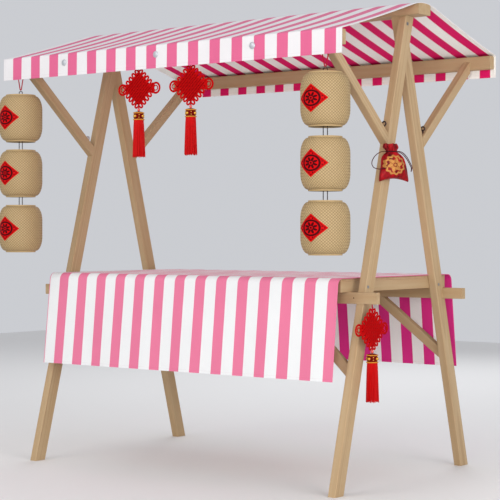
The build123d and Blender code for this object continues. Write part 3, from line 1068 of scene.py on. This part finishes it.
def tasselSkirt(seed):
    draw = random.Random(seed)
    lines = []
    for share, count in tassel["threads"].items():
        for number in range(count):
            angle = 2 * math.pi * (number + draw.uniform(-0.2, 0.2)) / count
            fold = 0.06 * math.sin(5 * angle + seed) + 0.035 * math.sin(9 * angle + 2 * seed)
            sway, reach = draw.uniform(-0.03, 0.03), draw.uniform(0.94, 1.0)
            line = []
            for down in (step / 7 for step in range(8)):
                spread = tassel["headRadius"] + (tassel["footRadius"] - tassel["headRadius"]) * down ** 0.7
                radius = share * spread * (1 + fold * down)
                turn = angle + sway * down
                line.append((radius * math.cos(turn), radius * math.sin(turn),
                             bandFoot + 0.001 - tassel["length"] * reach * down))
            lines.append(line)
    return strand(lines, tassel["thread"])


def tasselCore():
    length, foot, head = tassel["core"]
    length *= tassel["length"]
    core = added("cone", vertices=32, radius1=tassel["footRadius"] * foot,
                 radius2=tassel["headRadius"] * head, depth=length, location=(0, 0, bandFoot - length / 2))
    shaped(core, "FACE", lambda face: face.normal.z < -0.9, "inset", thickness=0.004)
    return eased(core, 0.002, 2)


def tasselBand():
    band = added("cylinder", vertices=40, radius=tassel["bandRadius"], depth=tassel["bandHeight"],
                 location=(0, 0, bandMiddle))
    shaped(band, "FACE", lambda face: face.normal.z > 0.9, "inset", thickness=0.012, depth=0.003)
    return eased(band, 0.002, 3)


def bandRings():
    lines = []
    for radius, height in tassel["rings"]:
        ring = [(x, y, bandMiddle + height) for x, y in circle(radius, 72)]
        lines += twisted(ring, (0, 0, 1), tassel["ringCord"] * cords["lay"], tassel["ringTurn"], closed=True)
    return strand(lines, tassel["ringCord"], closed=True)


def bandBeads():
    beads = []
    for size, height, shift in tassel["beadRows"]:
        base = fixed(added("uv_sphere", segments=12, ring_count=8, radius=size,
                           location=(tassel["bandRadius"] + size * 0.45, 0, bandMiddle + height)))
        for number in range(tassel["beadCount"]):
            turn = 2 * math.pi * (number + shift) / tassel["beadCount"]
            beads.append(twin(base, Matrix.Rotation(turn, 4, "Z")))
        cleared(base)
    return joined(*beads)


def glossBead():
    bead = added("uv_sphere", segments=20, ring_count=12, radius=tassel["bead"],
                 location=(0, 0, tassel["top"] - tassel["beadHeight"] * 0.5))
    bead.scale.z = tassel["beadStretch"]
    return fixed(bead)


def braidPaint(name, tint, deep):
    # fine slanting plaits along each cord, from the cord's own UV map, with painted shade in the deep tint in
    # the grooves between them
    paint = Paint(name, {"Specular IOR Level": 0.06})
    around, along = paint.parts(paint.place("UV"))[:2]
    plaits = (along * 420 + around, along * 420 - around)
    left, right = (abs((plait.fraction() - 0.5) * 2) for plait in plaits)
    weave = left.least(right)
    fuzz = paint.noise(paint.place(), 700.0)
    return paint.give(paint.mix(weave * 0.5 + fuzz * 0.5, deep, tint), 0.5 + fuzz * 0.2,
                      weave * 0.7 + fuzz * 0.3, 0.0004, 0.7)


knotPaint = braidPaint("knotBraid", knot["red"], knot["deep"])
bandPaint = braidPaint("bandBraid", knot["bandRed"], shade(knot["bandRed"], 0.5))
skirtPaint = grained("tasselThread", {"Specular IOR Level": 0.12}, shades(knot["tasselRed"], 0.62, 1.15),
                     (900, 900, 30), 0.38, 0.25, (0.0002, 0.5))
goldPaint = grained("goldBead", {"Specular IOR Level": 0.6, "Metallic": 0.75}, shades(knot["gold"], 1, 0.8),
                    300.0, 0.22, 0.15)
goldCordPaint = cordPaint("goldCord", knot["goldCord"], 1200.0, 0.05)
beadPaint = grained("glossBead", {"Specular IOR Level": 0.6, "Coat Roughness": 0.1},
                    shades(knot["beadPink"], 1, 0.8), 120.0, 0.25)

knotBase, shadeSheetBase = wovenKnot(), knotShadeSheet()
tasselParts = {"Core": (tasselCore(), skirtPaint), "Band": (tasselBand(), bandPaint),
               "Beads": (bandBeads(), goldPaint), "Bead": (glossBead(), beadPaint),
               "Rings": (bandRings(), goldCordPaint)}
for name, (node, x, y, head, hang, turn) in knot["hang"].items():
    middle = head - hang - knot["head"]
    place = Matrix.Translation((x, y, middle)) @ Matrix.Rotation(math.radians(turn), 4, "Z")
    strings = []
    for points in (between((0, 0, knot["stringEnd"]), (0, 0, head - middle), 24),
                   between((0, 0, bandTop), (0, 0, -knot["stringEnd"]), 16)):
        strings += twisted(points, (0, 1, 0), knot["stringLay"], knot["stringTurn"])
    string = strand(strings, knot["string"])
    string.data.transform(place)
    settled(string, f"{name}KnotString", [redCordPaint], [], 60)
    settled(twin(knotBase, place), f"{name}Knot", [knotPaint], [f"{node}_knot"], 60)
    # the dark sheet of painted shade inside each knot
    settled(twin(shadeSheetBase, place), f"{name}KnotShadeSheet", [bandPaint])
    skirt = tasselSkirt(3 + len(name))
    skirt.data.transform(place)
    settled(skirt, f"{name}TasselThreads", [skirtPaint], [f"{node}_tassel"], 60)
    for part, (base, paint) in tasselParts.items():
        settled(twin(base, place), f"{name}Tassel{part}", [paint])
cleared(knotBase, shadeSheetBase, *(base for base, paint in tasselParts.values()))
print("knots and tassels tied")


# Screw eyes on the upper faces of the arms: the right ones are dark, the left ones pale

eye = {
    "ring": 0.0088,
    "wire": 0.0034,
    "neckTop": 0.0066,
    "neckFoot": 0.0022,
    "neckDepth": 0.55,         # as a share of its width
    "tints": {"right": rgb(58, 38, 34), "left": rgb(196, 188, 190)},
}


def screwEye(name):
    # a ring that faces the front, on a neck that narrows down to its thread
    low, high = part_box(name)
    x, y = (low.x + high.x) / 2, (low.y + high.y) / 2
    middle = high.z - eye["wire"] - eye["ring"]
    ring = added("torus", major_segments=36, minor_segments=12, major_radius=eye["ring"],
                 minor_radius=eye["wire"], location=(x, y, middle), rotation=(math.pi / 2, 0, 0))
    neckHead = middle - eye["ring"] * 0.75
    neck = added("cone", vertices=20, radius1=eye["neckFoot"], radius2=eye["neckTop"], depth=neckHead - low.z,
                 location=(x, y, (neckHead + low.z) / 2))
    neck.scale.y = eye["neckDepth"]
    return joined(fixed(ring), eased(fixed(neck), 0.0014, 3))


eyePaints = {}
for hand, tint in eye["tints"].items():
    eyePaints[hand] = grained(f"{hand}Steel", {"Metallic": 0.2, "Specular IOR Level": 0.4},
                              shades(tint, 1, 0.55), 260.0, 0.42, 0.25, (0.0002, 0.4), 3.0)
for leg in legPlaces:
    hand, depth = leg.split("_")
    settled(screwEye(f"{leg}_eye"), f"{hand}{depth.capitalize()}ScrewEye", [eyePaints[hand]],
            [f"{leg}_eye"])


# Drawstring pouch of red satin, with its gathered collar. It hangs against the leg, turned a little to
# the front.

pouch = {
    "place": (0.934, -0.142),
    "turn": math.radians(27),
    "foot": 1.3105,
    "top": 1.4735,
    "neck": 1.4405,
    "halfWidth": 0.076,
    "halfThickness": 0.030,
    "around": 96,
    "rows": 44,
    "wall": 0.0014,
    "legFace": 0.9048,
    "legEdge": -0.1640,        # the leg's front corner, at legHeight
    "legHeight": 1.4,
    "satin": rgb(164, 4, 18),
    # the painted shade of the satin's folds
    "satinFoldShade": rgb(66, 0, 4),
    "gold": rgb(206, 150, 82),
    "goldDeep": rgb(150, 88, 34),
    "cord": rgb(72, 20, 26),
    "cordRadius": 0.0018,
    "cordLay": 0.9,
    "cordTurn": 0.007,
    "tieWider": 1.1,
    "ornament": (-0.0072, 1.3825, 0.051, 0.0435),          # its middle, and half its width and height
    # share of its height, of its half width and of its half thickness, and how far it leans aside
    "shape": [(0.00, 0.94, 0.00, 0.002), (0.03, 0.965, 0.42, 0.002), (0.10, 0.945, 0.76, 0.001),
              (0.27, 0.865, 1.00, 0.000), (0.457, 0.755, 1.00, -0.001), (0.60, 0.69, 0.90, -0.003),
              (0.66, 0.63, 0.80, -0.004), (0.72, 0.49, 0.66, -0.006), (0.788, 0.285, 0.50, -0.008),
              (0.84, 0.34, 0.48, -0.011), (0.90, 0.46, 0.58, -0.014), (0.95, 0.44, 0.62, -0.016),
              (1.00, 0.375, 0.62, -0.017)],
    # the ends of the drawstring: across the face, out of it, and height
    "drawstring": [
        [(-0.040, 0.004, 1.4405), (-0.056, 0.006, 1.4395), (-0.074, 0.006, 1.4345), (-0.094, 0.004, 1.4190),
         (-0.106, 0.003, 1.4000), (-0.109, 0.005, 1.3840), (-0.102, 0.009, 1.3705), (-0.084, 0.016, 1.3640),
         (-0.066, 0.023, 1.3655), (-0.050, 0.0275, 1.3690)],
        [(0.006, 0.010, 1.4405), (0.022, 0.014, 1.4410), (0.040, 0.014, 1.4350), (0.062, 0.010, 1.4170),
         (0.080, 0.006, 1.3940), (0.0915, 0.004, 1.3740), (0.0860, 0.004, 1.3550)],
        [(0.006, 0.012, 1.4390), (0.020, 0.017, 1.4370), (0.036, 0.018, 1.4290), (0.056, 0.015, 1.4110),
         (0.073, 0.011, 1.3900), (0.0850, 0.008, 1.3710), (0.0845, 0.007, 1.3570)],
    ],
}


def pouchShare(share):
    for (low, *start), (high, *stop) in zip(pouch["shape"], pouch["shape"][1:]):
        if share <= high:
            break
    return [a + (b - a) * (share - low) / (high - low) for a, b in zip(start, stop)]


def onPouch(aside, out, height):
    # from the pouch's own directions, across its face and out of it, to a place clear of the leg
    x = pouch["place"][0] + out * math.cos(pouch["turn"]) + aside * math.sin(pouch["turn"])
    y = pouch["place"][1] - out * math.sin(pouch["turn"]) + aside * math.cos(pouch["turn"])
    edge = pouch["legEdge"] - (pouch["legHeight"] - height) * pine["lean"]
    return Vector((max(x, pouch["legFace"] - max(0, edge - y)), y, height))


def pouchBody():
    # a shell from the seam at its foot up its sides to the collar's edge
    body = added("cylinder", vertices=pouch["around"], radius=1, depth=2, end_fill_type="NOTHING")
    cutAcross(body, 1, pouch["rows"] - 1)
    for vertex in body.data.vertices:
        share = (vertex.co.z + 1) / 2
        angle = math.atan2(vertex.co.y, vertex.co.x)
        width, thickness, middle = pouchShare(share)
        # gathers at the neck, at the collar and in the body
        neck = math.exp(-((share - 0.80) / 0.13) ** 2)
        scale = 1 + 0.11 * neck * math.sin(17 * angle + 1.3 * math.sin(3 * angle))
        scale += 0.09 * math.exp(-((share - 0.96) / 0.10) ** 2) * math.sin(11 * angle + 1)
        scale += 0.05 * math.sin(9 * angle + 7 * share) * math.exp(-((share - 0.5) / 0.25) ** 2)
        height = pouch["foot"] + (pouch["top"] - pouch["foot"]) * share
        aside = middle + pouch["halfWidth"] * width * math.sin(angle) * min(scale, 1.09)
        out = pouch["halfThickness"] * thickness * abs(math.cos(angle)) ** 0.85 * scale
        if share < 0.16:                                   # the foot rises between its two corners
            height += 0.0135 * (1 - abs(math.sin(angle)) ** 1.8) * (1 - share / 0.16)
        if share > 0.9:
            height += 0.0022 * math.sin(5 * angle + 0.8) * (share - 0.9) / 0.1
        vertex.co = onPouch(aside, math.copysign(out, math.cos(angle)), height)
    shaped(body, "VERT", lambda corner: True, "remove_doubles", threshold=0.0002)
    shaped(body, "FACE", lambda face: True, "normals_make_consistent", inside=False)
    return modified(body, "SOLIDIFY", thickness=pouch["wall"], offset=-1)


def satinPaint():
    # satin with a gold rosette and a garland round it, on the front only; the satin darkens with painted
    # shade in its folds, laid by a noise
    paint = Paint("redSatin", {"Specular IOR Level": 0.14})
    fold = paint.noise(paint.place(), (46, 46, 20), 3.0)
    middle = Matrix.Rotation(pouch["turn"], 3, "Z") @ Vector((*pouch["place"], 0))
    out, aside, up = paint.parts(paint.moved(paint.place(), place=-middle, turn=(0, 0, pouch["turn"])))
    middleAside, middleUp, halfAcross, halfUp = pouch["ornament"]
    across = (aside - middleAside) / halfAcross
    upward = (up - middleUp) / halfUp
    span = (across * across + upward * upward) ** 0.5
    angle = upward.maths("ARCTAN2", across)
    flower = 1 - (span - (angle * 6).sine() * 0.12).above(0.6, 0.05)
    veins = (1 - abs((angle * 3 + 0.785 + span * 1.6).sine()).above(0.11, 0.1)) * span.above(0.24, 0.06)
    garland = (span - (angle * 12).sine() * 0.06).at(0.86, 0.1, 0.05)
    heart = span.at(0.17, 0.04, 0.04)
    ornament = (flower * (1 - veins)).most(garland) * (1 - heart) * out.above(0.006, 0.004)
    # painted fold shade: the satin's red falls towards its dark tint with the noise
    satinShadedTint = paint.mix((fold - 0.5) * 3.0 + 0.58, pouch["satinFoldShade"], pouch["satin"])
    goldTint = paint.mix(paint.noise(paint.place(), 220.0, 3.0), pouch["goldDeep"], pouch["gold"])
    return paint.give(paint.mix(ornament, satinShadedTint, goldTint), 0.3 + fold * 0.2 + ornament * 0.1,
                      fold * 0.8 + ornament * 0.3, 0.003, 0.6, ornament * 0.3)


def smoothLine(points, steps=8):
    # a curve that passes through every point
    ends = [points[0], *points, points[-1]]
    line = []
    for a, b, c, d in zip(ends, ends[1:], ends[2:], ends[3:]):
        for t in (step / steps for step in range(steps)):
            line.append(0.5 * (2 * b + (c - a) * t + (2 * a - 5 * b + 4 * c - d) * t ** 2
                               + (3 * b - 3 * c + d - a) * t ** 3))
    return line + [points[-1]]


def pouchTie():
    neck = pouch["neck"]
    width, thickness, middle = pouchShare((neck - pouch["foot"]) / (pouch["top"] - pouch["foot"]))
    ring = []
    for out, aside in circle(pouch["tieWider"], 60):
        ring.append(onPouch(middle + pouch["halfWidth"] * width * aside,
                            pouch["halfThickness"] * thickness * out, neck))
    ends = [smoothLine([onPouch(*point) for point in points]) for points in pouch["drawstring"]]
    radius = pouch["cordRadius"]
    tie = twisted(ring, (0, 0, 1), radius * pouch["cordLay"], pouch["cordTurn"], closed=True)
    return joined(strand(tie, radius, closed=True), strand(ends, radius))


settled(pouchBody(), "satinPouch", [satinPaint()], ["pouch"], 70)
settled(pouchTie(), "pouchDrawstring", [cordPaint("pouchCord", pouch["cord"])], [], 60)
print("pouch hung")


# Studs, bolts, screws and the painted shade of the rails' holes, which the CAD leaves out

fittings = {
    "stud": 0.015,
    "studRise": 0.0052,
    "studBrim": 0.001,
    "studX": (-0.579, -0.016, 0.523),
    "studZ": 1.883,
    "studOut": 0.6452,
    "bolt": 0.0062,
    "boltHeight": 0.0032,
    "boltBrim": 0.0012,
    "boltPlaces": [(0.904, -0.019, 2.011)],                # out along X, from the ridge's line, and height
    "screw": 0.0068,
    "screwPlaces": [(0.904, -0.335, 0.862), (0.866, 0.312, 0.855)],
    "hole": 0.0026,
    "holePlace": (0.856, 0.3723, 0.815),
    "studTint": rgb(196, 200, 206),
    "steel": rgb(150, 150, 150),
    # the painted shade of the rails' holes
    "holeShadeTints": (rgb(52, 36, 24), rgb(80, 58, 38)),
}


def stud():
    # a domed head with a thin brim, which faces along its own Z
    head = added("uv_sphere", segments=28, ring_count=14, radius=fittings["stud"])
    shaped(head, "VERT", lambda corner: corner.co.z < -1e-5, "delete", type="VERT")
    head.scale.z = fittings["studRise"] / fittings["stud"]
    fixed(head)

    def below(edge, height):
        return all(head.data.vertices[end].co.z < height for end in edge.vertices)

    shaped(head, "EDGE", lambda edge: below(edge, 1e-5), "extrude_region_move",
           TRANSFORM_OT_translate={"value": (0, 0, -fittings["studBrim"])})
    return shaped(head, "EDGE", lambda edge: below(edge, -0.9 * fittings["studBrim"]), "edge_face_add")


def boltHead():
    head = added("cylinder", vertices=6, radius=fittings["bolt"], depth=fittings["boltHeight"],
                 location=(0, 0, fittings["boltHeight"] / 2))
    brim = added("cylinder", vertices=32, radius=fittings["bolt"] * 1.35, depth=fittings["boltBrim"],
                 location=(0, 0, fittings["boltBrim"] / 2))
    return joined(eased(head, 0.0006, 2), eased(brim, 0.0003, 1))


def screwHead():
    head = added("cylinder", vertices=24, radius=fittings["screw"], depth=0.0016, location=(0, 0, 0.0004))
    return eased(recessed(head, fittings["screw"] * 0.62, 0.0007), 0.0003, 2)


# a thin dark disc on the rail's face: painted shade where a hole is
def screwHoleShade():
    hole = added("cylinder", vertices=16, radius=fittings["hole"], depth=0.0006, location=(0, 0, 0.00005))
    return eased(hole, 0.0001, 1)


def fitted(name, base, places, paint, corner=40):
    # a copy of the fitting at each place, which faces the direction given with it
    fixed(base)
    copies = []
    for direction, place in places:
        turn = Vector((0, 0, 1)).rotation_difference(Vector(direction)).to_matrix().to_4x4()
        copies.append(twin(base, Matrix.Translation(place) @ turn))
    cleared(base)
    return settled(joined(*copies), name, [paint], [], corner)


def onEnds(places):
    # the same places at both ends of the stall, with one end turned half round
    return [((end, 0, 0), (end * out, ridgeY + end * along, height))
            for end in (-1, 1) for out, along, height in places]


def steelPaint(name, tint, metallic):
    return grained(name, {"Metallic": metallic, "Specular IOR Level": 0.5}, shades(tint, 1, 0.7), 400.0,
                   0.28, 0.2, (0.0001, 0.4))


studPlaces = [((0, side, 0), (x, ridgeY + side * fittings["studOut"], fittings["studZ"]))
              for side in (-1, 1) for x in fittings["studX"]]
holeOut, holeAlong, holeHeight = fittings["holePlace"]
holePlaces = [((0, side, 0), (end * holeOut, ridgeY + side * holeAlong, holeHeight))
              for end in (-1, 1) for side in (-1, 1)]
studPaint = steelPaint("studSteel", fittings["studTint"], 0.5)
screwPaint = steelPaint("screwSteel", fittings["steel"], 0.7)
holeShadePaint = grained("screwHoleShade", {"Specular IOR Level": 0.1}, fittings["holeShadeTints"], 500.0, 0.9)
fitted("valanceStuds", stud(), studPlaces, studPaint, 50)
fitted("crossingBolts", boltHead(), onEnds(fittings["boltPlaces"]), screwPaint)
fitted("frameScrews", screwHead(), onEnds(fittings["screwPlaces"]), screwPaint)
fitted("railHoleShades", screwHoleShade(), holePlaces, holeShadePaint)
print("studs, bolts and screws set")
